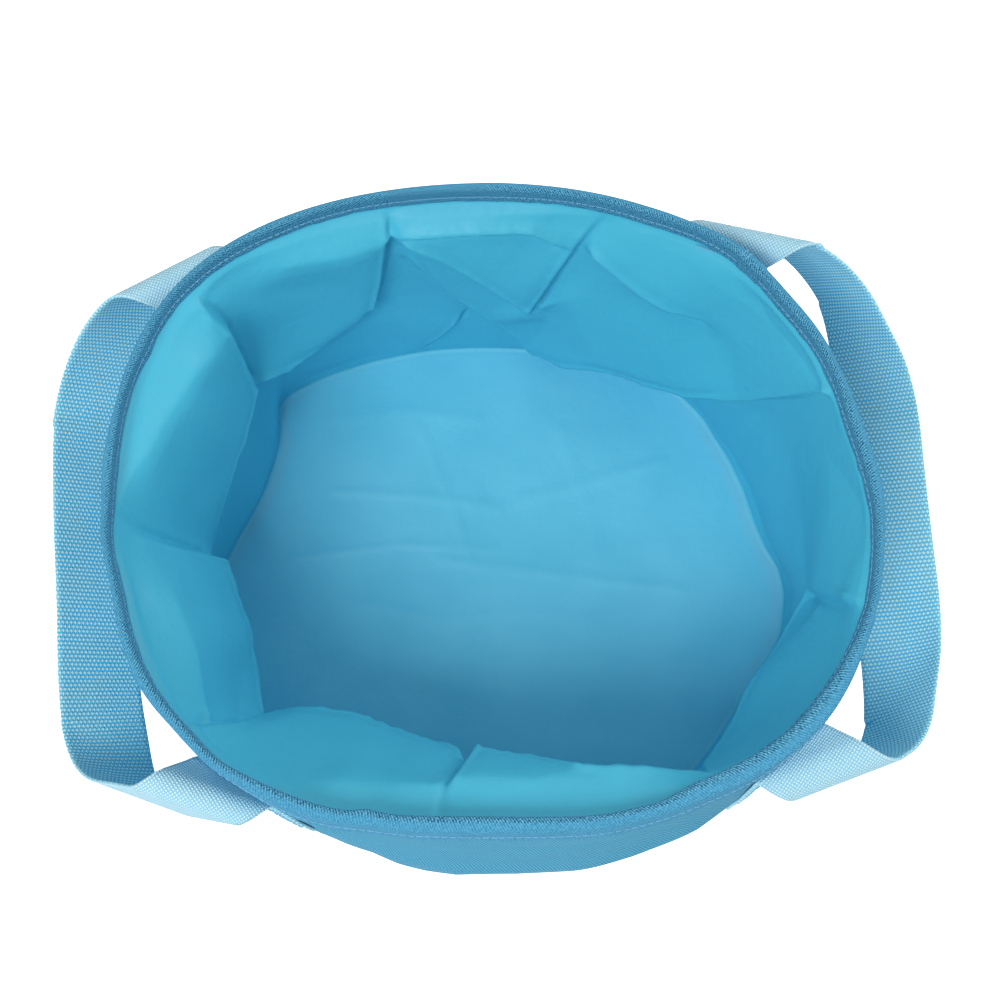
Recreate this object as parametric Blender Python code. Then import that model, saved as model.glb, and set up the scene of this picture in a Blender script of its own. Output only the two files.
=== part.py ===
"""A soft round-cornered bucket that folds flat: a woven shell, a loose coated lining,
a bound rim with a flat stiffener in it, and two webbing handles that have fallen outward.

Metres, +Z up, +Y away from the viewer. The origin is under the middle of the base,
on the surface that the bucket stands on.
"""
import math

import bmesh
import bpy
from mathutils import Vector

# Whole bucket, over the rim
RIM_LENGTH = 0.345
RIM_WIDTH = 0.292
BUCKET_HEIGHT = 0.200

# How square the oval is at the front, at the back and from right to left at the back
FRONT_POWER = 2.85
BACK_POWER = 2.25
BACK_LEAN = 0.20

# Where the slack rim stands off the oval: the middle of the stretch in degrees, how far it
# reaches each way, how much of that it takes to come in, and how far outward it goes
RIM_STRETCH_SHARES = (
    (21, 28, 20, -0.0217),
    (208, 21, 12, -0.0110),
    (266, 38, 20, 0.0125),
)

# Cloth and tape thicknesses, and the gap that keeps neighbours apart
SHELL_THICKNESS = 0.0010
BASE_THICKNESS = 0.0012
LINER_THICKNESS = 0.0008
BINDING_THICKNESS = 0.0008
STIFFENER_THICKNESS = 0.0012
TAPE_THICKNESS = 0.0006
FIT_GAP = 0.0003

# Rim
BINDING_HEIGHT = 0.012
STIFFENER_HEIGHT = 0.009
THREAD_WIDTH = 0.0008
STITCH_ABOVE_EDGE = 0.003
LAP_LENGTH = 0.014
LAP_ANGLE = 41
LAP_TACK_LENGTH = 0.006

# Seams at the foot and up the walls
BASE_SEAM_HEIGHT = 0.010
WELD_TAPE_WIDTH = 0.009
WALL_SEAM_WIDTH = 0.010
SHELL_SEAM_ANGLE = 96
LINER_SEAM_ANGLE = 352
SEAM_END_MARGIN = 0.004

# How far the shell bellies out at the front, where it is widest and how wide the belly is
FRONT_BELLY = 0.016
BELLY_ANGLE = 276
BELLY_HALF_ANGLE = 52
BELLY_POWER = 1.2

# Lining folds: how deep the deepest is, and how far from the base and the binding they end
FOLD_DEPTH = 0.044
FOLD_ABOVE_BASE = 0.0097
FOLD_BELOW_BINDING = 0.006

# Webbing handles
WEBBING_WIDTH = 0.040
WEBBING_THICKNESS = 0.0016
SEWN_LENGTH = 0.037
LOOSE_LENGTH = 0.013
SEWN_BELOW_BINDING = 0.016
RIGHT_HANDLE_LENGTH = 0.400
LEFT_HANDLE_LENGTH = 0.382
HANDLE_JOIN_LENGTH = 0.090
FOLD_LENGTH = 0.062
BOX_STITCH_INSET = 0.004

# Mesh steps
RING_STEPS = 72
STRAP_STEP_SHARE = 0.15
STRAP_COLUMNS = 4
FOLD_STEP_SHARE = 0.075
FOLD_COLUMNS = 8
SIDE_STEPS = 8
SHARP_ANGLE = 40

# Inward depth of the lining's folds as shares of FOLD_DEPTH, at the angle in the first
# column and, in the rest, at the heights that FOLD_HEIGHT_SHARES names
FOLD_HEIGHT_SHARES = (0.10, 0.37, 0.64, 0.81)
FOLD_SHARES = (
    (0, 0.05, 0.05, 0.03, 0.02),
    (20, 0.16, 0.19, 0.07, 0.03),
    (32, 0.16, 0.27, 0.07, 0.03),
    (45, 0.34, 0.48, 0.24, 0.12),
    (60, 0.41, 0.43, 0.34, 0.20),
    (72, 0.48, 0.30, 0.26, 0.16),
    (82, 0.22, 0.40, 0.34, 0.18),
    (92, 0.16, 0.18, 0.28, 0.20),
    (105, 0.09, 0.14, 0.16, 0.16),
    (111, 0.07, 0.11, 0.09, 0.07),
    (117, 0.09, 0.15, 0.11, 0.09),
    (130, 0.09, 0.15, 0.07, 0.07),
    (144, 0.30, 0.36, 0.14, 0.07),
    (155, 0.54, 0.56, 0.30, 0.20),
    (165, 0.56, 0.56, 0.32, 0.18),
    (178, 0.48, 0.36, 0.22, 0.11),
    (184, 0.57, 0.66, 0.25, 0.07),
    (198, 0.73, 0.73, 0.34, 0.14),
    (212, 0.64, 0.64, 0.34, 0.18),
    (222, 0.36, 0.56, 0.56, 0.25),
    (235, 0.41, 0.72, 0.95, 0.50),
    (246, 0.45, 0.77, 1.00, 0.54),
    (258, 0.41, 0.64, 0.80, 0.48),
    (266, 0.32, 0.52, 0.75, 0.56),
    (272, 0.30, 0.50, 0.70, 0.54),
    (284, 0.25, 0.41, 0.54, 0.44),
    (298, 0.18, 0.30, 0.40, 0.32),
    (306, 0.16, 0.25, 0.27, 0.18),
    (320, 0.34, 0.40, 0.16, 0.07),
    (338, 0.36, 0.41, 0.16, 0.11),
    (350, 0.09, 0.11, 0.07, 0.02),
)

# Each strap end: its angle on the oval, which way its far edge points (1 or -1), how far it
# is sewn off the vertical in degrees, and its bends. A bend has its start along the strap
# and its radius, both as shares of WEBBING_WIDTH, and its axis and turn in degrees.
STRAP_END_SHARES = {
    "front_right": (-42.0, 1, 12.0, (
        (0.000, 78.0, 0.080, 50.0),
        (0.172, 54.5, 0.228, 135.0),
        (1.379, 93.5, 1.390, 37.5),
        (2.441, 45.0, 1.105, 50.0),
    )),
    "back_right": (49.5, -1, 31.0, (
        (0.000, 59.0, 0.375, 35.0),
        (0.262, 43.0, 0.173, 122.5),
        (0.901, 81.0, 1.998, 42.5),
        (2.533, 45.0, 0.846, 67.5),
    )),
    "front_left": (-131.0, -1, 20.0, (
        (0.000, 70.0, 0.080, 35.0),
        (0.272, 54.0, 0.155, 137.0),
        (1.423, 64.5, 0.944, 66.5),
        (2.670, 107.0, 3.370, 21.5),
    )),
    "back_left": (141.5, 1, 32.0, (
        (0.000, 58.0, 0.375, 38.0),
        (0.246, 47.0, 0.178, 131.0),
        (0.983, 57.0, 1.354, 62.5),
        (2.608, 100.5, 2.226, 22.5),
    )),
}

# Places worked out from the sizes above
BINDING_FOOT = BUCKET_HEIGHT - BINDING_HEIGHT
SHELL_FACE = -BINDING_THICKNESS - FIT_GAP
SLOT_FACE = SHELL_FACE - SHELL_THICKNESS - FIT_GAP
LINER_FACE = SLOT_FACE - STIFFENER_THICKNESS - FIT_GAP
FLAP_FACE = LINER_FACE - LINER_THICKNESS - FIT_GAP
BINDING_BACK = FLAP_FACE - BINDING_THICKNESS
LINER_FOOT = BASE_THICKNESS + FIT_GAP
WALL_TOP = BUCKET_HEIGHT - BINDING_THICKNESS - FIT_GAP
LINER_BASE_TOP = LINER_FOOT + LINER_THICKNESS
FOLD_FOOT = LINER_BASE_TOP + FOLD_ABOVE_BASE
FOLD_TOP = BINDING_FOOT - FOLD_BELOW_BINDING
SEWN_TOP = BINDING_FOOT - SEWN_BELOW_BINDING
WEBBING_MIDDLE = SHELL_FACE + FIT_GAP + WEBBING_THICKNESS / 2


def smooth(share):
    share = min(max(share, 0.0), 1.0)
    return share * share * (3 - 2 * share)


def material(name, colour, roughness):
    made = bpy.data.materials.new(name)
    made.use_nodes = True
    shader = made.node_tree.nodes["Principled BSDF"]
    shader.inputs["Base Color"].default_value = (*colour, 1)
    shader.inputs["Roughness"].default_value = roughness
    return made


def add_object(name, points, faces, finish, parent=None):
    """One closed body from world points, parented so that its origin is the parent's."""
    origin = parent.location.copy() if parent else Vector((0, 0, 0))
    mesh = bpy.data.meshes.new(name)
    mesh.from_pydata([Vector(point) - origin for point in points], [], faces)
    body = bmesh.new()
    body.from_mesh(mesh)
    bmesh.ops.recalc_face_normals(body, faces=body.faces)
    body.to_mesh(mesh)
    body.free()
    mesh.materials.append(finish)
    mesh.shade_smooth()
    mesh.set_sharp_from_angle(angle=math.radians(SHARP_ANGLE))
    made = bpy.data.objects.new(name, mesh)
    bpy.context.scene.collection.objects.link(made)
    made.parent = parent
    return made


def add_empty(name, place):
    made = bpy.data.objects.new(name, None)
    made.location = place
    bpy.context.scene.collection.objects.link(made)
    return made


# The oval and the walls


def stretch(angle):
    """How far the rim stands outward of a true oval."""
    total = 0
    for middle, half, edge, share in RIM_STRETCH_SHARES:
        off = abs((math.degrees(angle) - middle + 180) % 360 - 180)
        total += share * RIM_LENGTH * smooth((half - off) / edge)
    return total


def oval(angle, outward):
    """A point of the rim's outline, moved outward, at an angle in radians."""
    across, along = math.cos(angle), math.sin(angle)
    front_share = (1 - along) / 2
    power = FRONT_POWER * front_share + (BACK_POWER - BACK_LEAN * across) * (1 - front_share)
    far = abs(across / (RIM_LENGTH / 2 + outward)) ** power
    near = abs(along / (RIM_WIDTH / 2 + outward)) ** power
    reach = (far + near) ** (-1 / power) + stretch(angle)
    return Vector((reach * across, reach * along, 0))


def oval_normal(angle):
    """The outline's outward direction at an angle."""
    step = math.radians(1) / RING_STEPS
    run = oval(angle + step, 0) - oval(angle - step, 0)
    return Vector((run.y, -run.x, 0)).normalized()


def belly(angle, height):
    """How far the shell stands out beyond the rim."""
    off = (math.degrees(angle) - BELLY_ANGLE + 180) % 360 - 180
    if abs(off) >= BELLY_HALF_ANGLE or not 0 < height < BINDING_FOOT:
        return 0
    round_share = math.cos(math.pi / 2 * off / BELLY_HALF_ANGLE) ** BELLY_POWER
    return FRONT_BELLY * round_share * math.sin(math.pi * height / BINDING_FOOT)


def fold(angle, height):
    """How far the lining hangs in from the wall."""
    degrees = math.degrees(angle) % 360
    rows = (*FOLD_SHARES, (360, *FOLD_SHARES[0][1:]))
    for low, high in zip(rows, rows[1:]):
        if degrees <= high[0]:
            break
    side = smooth((degrees - low[0]) / (high[0] - low[0]))
    depths = (0, *(a + (b - a) * side for a, b in zip(low[1:], high[1:])), 0)
    heights = (0, *FOLD_HEIGHT_SHARES, 1)
    share = (height - FOLD_FOOT) / (FOLD_TOP - FOLD_FOOT)
    if not 0 < share < 1:
        return 0
    for step in range(len(heights) - 1):
        if share <= heights[step + 1]:
            break
    up = smooth((share - heights[step]) / (heights[step + 1] - heights[step]))
    return FOLD_DEPTH * (depths[step] + (depths[step + 1] - depths[step]) * up)


def plain_point(angle, outward, height):
    flat = oval(angle, outward)
    return Vector((flat.x, flat.y, height))


def shell_point(angle, outward, height):
    return plain_point(angle, outward + belly(angle, height), height)


def liner_point(angle, outward, height):
    return plain_point(angle, outward - fold(angle, height), height)


def liner_face_points(angle, heights):
    """Up the lining's outer face and down its inner one, square to the folds."""
    turn = 2 * math.pi / RING_STEPS
    outer = [liner_point(angle, LINER_FACE, height) for height in heights]
    inner = [plain_point(angle, LINER_FACE - LINER_THICKNESS, heights[0])]
    for row in range(1, len(heights) - 1):
        before = liner_point(angle - turn, LINER_FACE, heights[row])
        after = liner_point(angle + turn, LINER_FACE, heights[row])
        inward = (outer[row + 1] - outer[row - 1]).cross(after - before).normalized()
        inner.append(outer[row] + inward * LINER_THICKNESS)
    inner.append(plain_point(angle, LINER_FACE - LINER_THICKNESS, heights[-1]))
    return outer + inner[::-1]


def ring_body(name, section, place, finish, parent=None):
    """A closed ring: the section's (outward, height) points swept round the oval."""

    def corners(angle):
        return [place(angle, outward, height) for outward, height in section]

    return swept_body(name, corners, finish, parent)


def swept_body(name, corners, finish, parent=None):
    """A closed ring through the corners that corners(angle) gives at each step.

    The second half of the corners comes back along the first, and both halves are split
    along the same diagonals, so that the two faces of a thin sheet stay apart.
    """
    points = []
    faces = []
    count = len(corners(0))
    for step in range(RING_STEPS):
        points += corners(2 * math.pi * step / RING_STEPS)
        here, there = step * count, (step + 1) % RING_STEPS * count
        for corner in range(count):
            after = (corner + 1) % count
            a, b, c, d = here + corner, there + corner, there + after, here + after
            faces += [(a, b, c), (a, c, d)] if corner < count // 2 else [(a, b, d), (b, c, d)]
    return add_object(name, points, faces, finish, parent)


def wall_section(face, thickness, heights):
    """Up the outer face and down the inner one."""
    outer = [(face, height) for height in heights]
    inner = [(face - thickness, height) for height in reversed(heights)]
    return outer + inner


def disc_body(name, outward, low, high, finish):
    """A flat oval panel."""
    angles = [2 * math.pi * step / RING_STEPS for step in range(RING_STEPS)]
    points = [(*oval(angle, outward).xy, height) for height in (low, high) for angle in angles]
    rim = [
        (step, (step + 1) % RING_STEPS, (step + 1) % RING_STEPS + RING_STEPS, step + RING_STEPS)
        for step in range(RING_STEPS)
    ]
    under = tuple(reversed(range(RING_STEPS)))
    over = tuple(range(RING_STEPS, 2 * RING_STEPS))
    return add_object(name, points, [under, over, *rim], finish)


def slab_body(name, front, back, finish, parent=None):
    """A closed sheet between two grids of points that match row by row."""
    rows, columns = len(front), len(front[0])
    points = [point for grid in (front, back) for row in grid for point in row]
    size = rows * columns
    faces = []
    for row in range(rows - 1):
        for column in range(columns - 1):
            a = row * columns + column
            b, c, d = a + 1, a + columns + 1, a + columns
            faces += [(a, b, c, d), (a + size, d + size, c + size, b + size)]
    edge = [(0, column) for column in range(columns)]
    edge += [(row, columns - 1) for row in range(1, rows)]
    edge += [(rows - 1, column) for column in reversed(range(columns - 1))]
    edge += [(row, 0) for row in reversed(range(1, rows - 1))]
    around = [row * columns + column for row, column in edge]
    for a, b in zip(around, around[1:] + around[:1]):
        faces.append((b, a, a + size, b + size))
    return add_object(name, points, faces, finish, parent)


def wall_strip(name, angle, half_width, face, thickness, heights, finish, parent=None):
    """An upright strip that follows the wall's curve."""
    reach = oval(angle, 0).length
    turns = [half_width / reach * side for side in (-1, 0, 1)]
    grids = []
    for outward in (face, face - thickness):
        grids.append([
            [shell_point(angle + turn, outward, height) for turn in turns] for height in heights
        ])
    return slab_body(name, *grids, finish, parent)


def spread(low, high, shares):
    return [low + (high - low) * share for share in shares]


# Straps


def bend(point, flat, start, axis, radius, turn):
    """Rolls the strap round an axis across it: point has come through the bends beyond."""
    along, across = math.cos(axis), math.sin(axis)
    reached = (flat[0] - start) * across + flat[1] * along
    if reached <= 0:
        return point
    beside = (point.x - start) * along - point.y * across
    forward = (point.x - start) * across + point.y * along
    lifted = point.z
    angle = min(reached / radius, turn)
    if reached >= radius * turn:
        rest = forward - radius * turn
    else:
        rest = lifted = 0
    forward = radius * math.sin(angle) + rest * math.cos(angle) - lifted * math.sin(angle)
    lifted = radius * (1 - math.cos(angle)) + rest * math.sin(angle) + lifted * math.cos(angle)
    return Vector((
        start + beside * along + forward * across,
        forward * along - beside * across,
        lifted,
    ))


def strap_frame(end):
    """Where a strap leaves the wall, and its directions along, across and outward."""
    degrees, side, slant, _ = STRAP_END_SHARES[end]
    angle = math.radians(degrees)
    outward = oval_normal(angle)
    up = Vector((0, 0, 1))
    across = side * outward.cross(up)
    lean = math.radians(slant)
    along = math.cos(lean) * up - math.sin(lean) * across
    across = math.cos(lean) * across + math.sin(lean) * up
    return plain_point(angle, WEBBING_MIDDLE, SEWN_TOP), along, across, outward


def on_wall(point):
    """The same place moved onto the webbing's middle plane on the wall."""
    angle = math.atan2(point.y, point.x)
    return shell_point(angle, WEBBING_MIDDLE, point.z)


def strap_point(end, along_strap, across_strap):
    """A point of the strap's middle plane, from the sewn end (below zero) outward."""
    root, along, across, outward = strap_frame(end)
    point = Vector((along_strap, across_strap, 0))
    for start_share, axis, radius_share, turn in reversed(STRAP_END_SHARES[end][3]):
        start, radius = start_share * WEBBING_WIDTH, radius_share * WEBBING_WIDTH
        place = (along_strap, across_strap)
        point = bend(point, place, start, math.radians(axis), radius, math.radians(turn))
    flat = root + point.x * along + point.y * across + point.z * outward
    foot = root + min(along_strap, 0) * along + across_strap * across
    hold = 1 - smooth(along_strap / (WEBBING_WIDTH / 3))
    return flat + (on_wall(foot) - foot) * hold


def handle_point(front, back, length, along_strap, across_strap):
    """A point of a whole handle: its two ends meet over the join in the middle."""
    near = strap_point(front, along_strap, across_strap)
    far = strap_point(back, length - along_strap, across_strap)
    share = smooth((along_strap - length / 2 + HANDLE_JOIN_LENGTH / 2) / HANDLE_JOIN_LENGTH)
    return near.lerp(far, share)


def normal_at(place, along, across):
    """The direction square to the strap's middle plane."""
    fine = WEBBING_THICKNESS / 4
    run = place(along + fine, across) - place(along - fine, across)
    side = place(along, across + fine) - place(along, across - fine)
    return run.cross(side).normalized()


def strap_body(name, place, low, high, finish, parent, row_step, column_count):
    """A length of webbing whose middle plane is place(along, across)."""
    rows = round((high - low) / row_step)
    shares = [step / rows for step in range(rows + 1)]
    columns = [(step / column_count - 1 / 2) * WEBBING_WIDTH for step in range(column_count + 1)]
    reach = WEBBING_THICKNESS / 2
    front, back = [], []
    for along in spread(low, high, shares):
        places = [(place(along, across), normal_at(place, along, across)) for across in columns]
        front.append([middle + normal * reach for middle, normal in places])
        back.append([middle - normal * reach for middle, normal in places])
    return slab_body(name, front, back, finish, parent)


def box_stitch(name, end, finish, parent):
    """The thread that holds a sewn end: a box just above the webbing's face."""
    half = WEBBING_WIDTH / 2 - BOX_STITCH_INSET
    top = -LOOSE_LENGTH - BOX_STITCH_INSET
    foot = -LOOSE_LENGTH - SEWN_LENGTH + BOX_STITCH_INSET
    corners = ((foot, -half), (foot, half), (top, half), (top, -half))
    outward = strap_frame(end)[3]
    clear = WEBBING_THICKNESS / 2 + 2 * FIT_GAP

    def sewn(along, across):
        return strap_point(end, along, across)

    points, faces = [], []
    middle = Vector(((foot + top) / 2, 0))
    path = []
    for first, last in zip(corners, corners[1:] + corners[:1]):
        path += [Vector(first).lerp(Vector(last), step / SIDE_STEPS) for step in range(SIDE_STEPS)]
    for place in path:
        inner = place + (middle - place).normalized() * THREAD_WIDTH
        for spot, lift in ((place, 0), (place, THREAD_WIDTH), (inner, THREAD_WIDTH), (inner, 0)):
            normal = normal_at(sewn, spot.x, spot.y)
            if normal.dot(outward) < 0:
                normal.negate()
            points.append(sewn(spot.x, spot.y) + normal * (clear + lift))
    for step in range(len(path)):
        here, there = 4 * step, (step + 1) % len(path) * 4
        for corner in range(4):
            after = (corner + 1) % 4
            faces.append((here + corner, there + corner, there + after, here + after))
    return add_object(name, points, faces, finish, parent)


# Sub-parts


def build_base(woven, coated, tape):
    disc_body("outer_base", SLOT_FACE, 0, BASE_THICKNESS, woven)
    shares = (0, 0.13, 0.32, 0.5, 0.68, 0.87, 1)
    heights = [*spread(0, BINDING_FOOT, shares), WALL_TOP]
    section = wall_section(SHELL_FACE, SHELL_THICKNESS, heights)
    ring_body("outer_wall", section, shell_point, woven)
    seam_heights = (LINER_FOOT, LINER_FOOT + BASE_SEAM_HEIGHT)
    section = wall_section(SLOT_FACE, STIFFENER_THICKNESS, seam_heights)
    ring_body("base_seam_tape", section, plain_point, tape)
    seam_shares = (0, 0.2, 0.4, 0.6, 0.8, 1)
    low = LINER_FOOT + BASE_SEAM_HEIGHT + SEAM_END_MARGIN
    high = BINDING_FOOT - SEAM_END_MARGIN
    heights = spread(low, high, seam_shares)
    wall_strip(
        "outer_wall_seam", math.radians(SHELL_SEAM_ANGLE), WALL_SEAM_WIDTH / 2,
        SLOT_FACE, TAPE_THICKNESS, heights, tape,
    )
    wall_strip(
        "liner_wall_seam", math.radians(LINER_SEAM_ANGLE), WALL_SEAM_WIDTH / 2,
        SLOT_FACE - TAPE_THICKNESS, TAPE_THICKNESS, heights, coated,
    )
    disc_body("liner_base", FLAP_FACE, LINER_FOOT, LINER_BASE_TOP, coated)
    fold_heights = spread(FOLD_FOOT, FOLD_TOP, (0, *FOLD_HEIGHT_SHARES, 1))
    heights = [LINER_FOOT, *fold_heights, WALL_TOP]

    def corners(angle):
        return liner_face_points(angle, heights)

    swept_body("liner_wall", corners, coated)
    low = LINER_BASE_TOP + FIT_GAP
    reach = WELD_TAPE_WIDTH
    section = [
        (FLAP_FACE, low),
        (FLAP_FACE, low + reach),
        (FLAP_FACE - TAPE_THICKNESS, low + reach),
        (FLAP_FACE - TAPE_THICKNESS, low + TAPE_THICKNESS),
        (FLAP_FACE - reach, low + TAPE_THICKNESS),
        (FLAP_FACE - reach, low),
    ]
    ring_body("liner_base_weld", section, plain_point, coated)


def build_rim(binding, plastic, thread, rim_frame):
    inner_top = BUCKET_HEIGHT - BINDING_THICKNESS
    section = [
        (0, BINDING_FOOT),
        (0, BUCKET_HEIGHT),
        (BINDING_BACK, BUCKET_HEIGHT),
        (BINDING_BACK, BINDING_FOOT),
        (BINDING_BACK + BINDING_THICKNESS, BINDING_FOOT),
        (BINDING_BACK + BINDING_THICKNESS, inner_top),
        (-BINDING_THICKNESS, inner_top),
        (-BINDING_THICKNESS, BINDING_FOOT),
    ]
    ring_body("rim_binding", section, plain_point, binding, rim_frame)
    heights = (WALL_TOP - STIFFENER_HEIGHT, WALL_TOP)
    section = wall_section(SLOT_FACE, STIFFENER_THICKNESS, heights)
    ring_body("rim_stiffener", section, plain_point, plastic, rim_frame)
    low = BINDING_FOOT + STITCH_ABOVE_EDGE
    for name, face in (
        ("binding_stitch_outer", FIT_GAP + THREAD_WIDTH),
        ("binding_stitch_inner", BINDING_BACK - FIT_GAP),
    ):
        section = wall_section(face, THREAD_WIDTH, (low, low + THREAD_WIDTH))
        ring_body(name, section, plain_point, thread, rim_frame)
    build_lap(binding, thread, rim_frame)


def build_lap(binding, thread, rim_frame):
    """The tape's end, lapped over its start between the stitch lines, and its tack."""
    low = BINDING_FOOT + STITCH_ABOVE_EDGE + THREAD_WIDTH + FIT_GAP
    top = BUCKET_HEIGHT + FIT_GAP
    out, back = FIT_GAP, BINDING_BACK - FIT_GAP
    outline = [
        (out, low), (out, top), (back, top), (back, low),
        (back - TAPE_THICKNESS, low),
        (back - TAPE_THICKNESS, top + TAPE_THICKNESS),
        (out + TAPE_THICKNESS, top + TAPE_THICKNESS),
        (out + TAPE_THICKNESS, low),
    ]
    angle = math.radians(LAP_ANGLE)
    half_turn = LAP_LENGTH / 2 / oval(angle, 0).length
    points = []
    for turn in (-half_turn, 0, half_turn):
        points += [plain_point(angle + turn, outward, height) for outward, height in outline]
    count = len(outline)
    faces = [tuple(range(count)), tuple(range(2 * count, 3 * count))]
    for ring in (0, count):
        for corner in range(count):
            after = (corner + 1) % count
            faces.append((ring + corner, ring + count + corner, ring + count + after, ring + after))
    add_object("binding_lap", points, faces, binding, rim_frame)
    face = back - TAPE_THICKNESS - FIT_GAP
    heights = (low + FIT_GAP, low + FIT_GAP + LAP_TACK_LENGTH)
    wall_strip(
        "binding_lap_tack", angle, THREAD_WIDTH, face, THREAD_WIDTH, heights, thread, rim_frame,
    )


def hinge_frame(name, front, back):
    """An empty midway between a handle's two roots, which its swing axis runs through."""
    near, far = strap_frame(front)[0], strap_frame(back)[0]
    return add_empty(name, (near + far) / 2)


def build_handle(side, length, webbing, thread, rim_frame):
    front, back = f"front_{side}", f"back_{side}"
    swing = hinge_frame(f"{side}_handle_swing", front, back)
    coarse = (STRAP_STEP_SHARE * WEBBING_WIDTH, STRAP_COLUMNS)
    fine = (FOLD_STEP_SHARE * WEBBING_WIDTH, FOLD_COLUMNS)
    for end in (front, back):
        def own(along, across, end=end):
            return strap_point(end, along, across)

        low, high = -LOOSE_LENGTH - SEWN_LENGTH, -LOOSE_LENGTH - FIT_GAP
        strap_body(f"sewn_end_{end}", own, low, high, webbing, rim_frame, *coarse)
        low, high = -LOOSE_LENGTH, FOLD_LENGTH
        strap_body(f"strap_fold_{end}", own, low, high, webbing, rim_frame, *fine)
        box_stitch(f"box_stitch_{end}", end, thread, rim_frame)

    def whole(along, across):
        return handle_point(front, back, length, along, across)

    low, high = FOLD_LENGTH + FIT_GAP, length - FOLD_LENGTH - FIT_GAP
    strap_body(f"handle_{side}", whole, low, high, webbing, swing, *coarse)


def main():
    for item in list(bpy.data.objects):
        bpy.data.objects.remove(item)
    woven = material("woven_shell", (0.09, 0.36, 0.60), 0.75)
    coated = material("coated_lining", (0.11, 0.52, 0.74), 0.40)
    tape = material("seam_tape", (0.10, 0.33, 0.52), 0.80)
    binding = material("binding_tape", (0.07, 0.27, 0.45), 0.80)
    plastic = material("stiffener_strip", (0.80, 0.82, 0.82), 0.45)
    thread = material("sewing_thread", (0.25, 0.55, 0.72), 0.60)
    webbing = material("handle_webbing", (0.16, 0.50, 0.74), 0.55)
    rim_frame = add_empty("rim_frame", (0, 0, BUCKET_HEIGHT))
    build_base(woven, coated, tape)
    build_rim(binding, plastic, thread, rim_frame)
    build_handle("right", RIGHT_HANDLE_LENGTH, webbing, thread, rim_frame)
    build_handle("left", LEFT_HANDLE_LENGTH, webbing, thread, rim_frame)


main()
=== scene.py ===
"""The looks of the soft camping bucket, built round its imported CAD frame.

Metres, +Z up, +Y away from the viewer, origin under the middle of the base.
"""

import math

import bmesh
import bpy
import numpy as np
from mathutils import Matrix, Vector
from mathutils.geometry import delaunay_2d_cdt

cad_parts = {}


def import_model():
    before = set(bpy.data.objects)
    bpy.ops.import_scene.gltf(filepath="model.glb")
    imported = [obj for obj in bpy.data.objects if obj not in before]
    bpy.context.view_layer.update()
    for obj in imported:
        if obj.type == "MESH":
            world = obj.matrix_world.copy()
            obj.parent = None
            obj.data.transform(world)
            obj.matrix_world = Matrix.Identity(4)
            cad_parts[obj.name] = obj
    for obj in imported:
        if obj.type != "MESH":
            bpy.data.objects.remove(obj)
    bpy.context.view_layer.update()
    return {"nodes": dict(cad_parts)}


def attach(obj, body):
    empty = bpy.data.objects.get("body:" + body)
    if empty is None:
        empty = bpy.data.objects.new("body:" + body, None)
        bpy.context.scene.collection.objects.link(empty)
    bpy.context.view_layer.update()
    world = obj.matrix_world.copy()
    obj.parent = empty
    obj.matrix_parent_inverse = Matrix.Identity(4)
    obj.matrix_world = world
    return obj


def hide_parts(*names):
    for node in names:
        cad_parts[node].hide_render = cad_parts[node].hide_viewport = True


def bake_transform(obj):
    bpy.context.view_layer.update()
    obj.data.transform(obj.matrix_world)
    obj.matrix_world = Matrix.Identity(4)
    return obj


MM = 0.001

# The CAD model's sizes that the looks are built on
RIM_LENGTH = 0.345
RIM_WIDTH = 0.292
BUCKET_HEIGHT = 0.200
FRONT_POWER = 2.85
BACK_POWER = 2.25
BACK_LEAN = 0.20
BINDING_FOOT = 0.188
SHELL_FACE = -0.0011
LINING_FACE = -0.0047
BASE_FACE = -0.0024
LINING_FOOT = 0.0023
WALL_TOP = 0.1989

# Where the slack rim leaves its oval: the middle, half the width and the soft edge of the
# stretch in degrees, and how far out it goes in metres
RIM_STRETCHES = ((21, 28, 20, -0.0075), (208, 21, 12, -0.0038), (266, 38, 20, 0.0043))

# How far the shell bulges below the rim, in mm at angles in degrees, and its share by height
BELLY = (
    (222, 0), (228, 1), (235, 3.2), (243.5, 4.8), (250, 8), (254.5, 12), (259, 14.5),
    (264, 16.5), (274, 16.5), (283.5, 15.2), (291, 13), (294.5, 11.5), (302, 9.5), (307, 7),
    (314, 3), (320, 1), (328, 0),
)
BELLY_SHARES = ((0, 0), (30, 0.5), (60, 0.85), (90, 1), (125, 1), (146, 0.9), (166, 0.56), (188, 0))

# The folded rim tape: how far its outer and inner faces stand off the oval, and how far its
# outer foot leans out, in mm at angles in degrees
TAPE_OUTER = (
    (0, 1.2), (9, 1), (19, -0.4), (30, 0.4), (38, -0.2), (44, -0.6), (53, -1.8), (62, -1.8),
    (70, -1.4), (90, 0), (116, -0.8), (133, -1.2), (143, -1.4), (155, -1.8), (168, -1.8),
    (177, 0.3), (186, -1), (195, -1.2), (204, -0.4), (211, 0.2), (223, -0.8), (240, 0),
    (250, -1), (258, 0), (297, 0), (304, -1), (316, -1.5), (323, -1), (333, -1.6),
    (344, -1), (352, -0.6), (360, 1.2),
)
TAPE_INNER = (
    (0, -4.4), (36, -4.4), (44, -5), (52, -5.2), (61, -6.2), (69, -5.3), (90, -4.6),
    (116, -4.3), (130, -5.2), (141, -4.4), (150, -4.4), (158, -5.8), (166, -4.8), (181, -4.3),
    (220, -4.6), (240, -5.2), (247, -5.6), (250, -7.2), (254, -5.9), (268, -6.2), (285, -5.5),
    (297, -5), (304, -8), (310, -8.5), (326, -8.6), (333, -7.2), (342, -4.6), (360, -4.4),
)
TAPE_LEAN = ((0, 0), (226, 0), (244, 3.2), (270, 3.6), (300, 3.4), (318, 1.4), (332, 0), (360, 0))
TAPE_THICKNESS = 0.0004
TAPE_CROWN = 0.0022
TAPE_PUCKER = 0.0002
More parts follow.
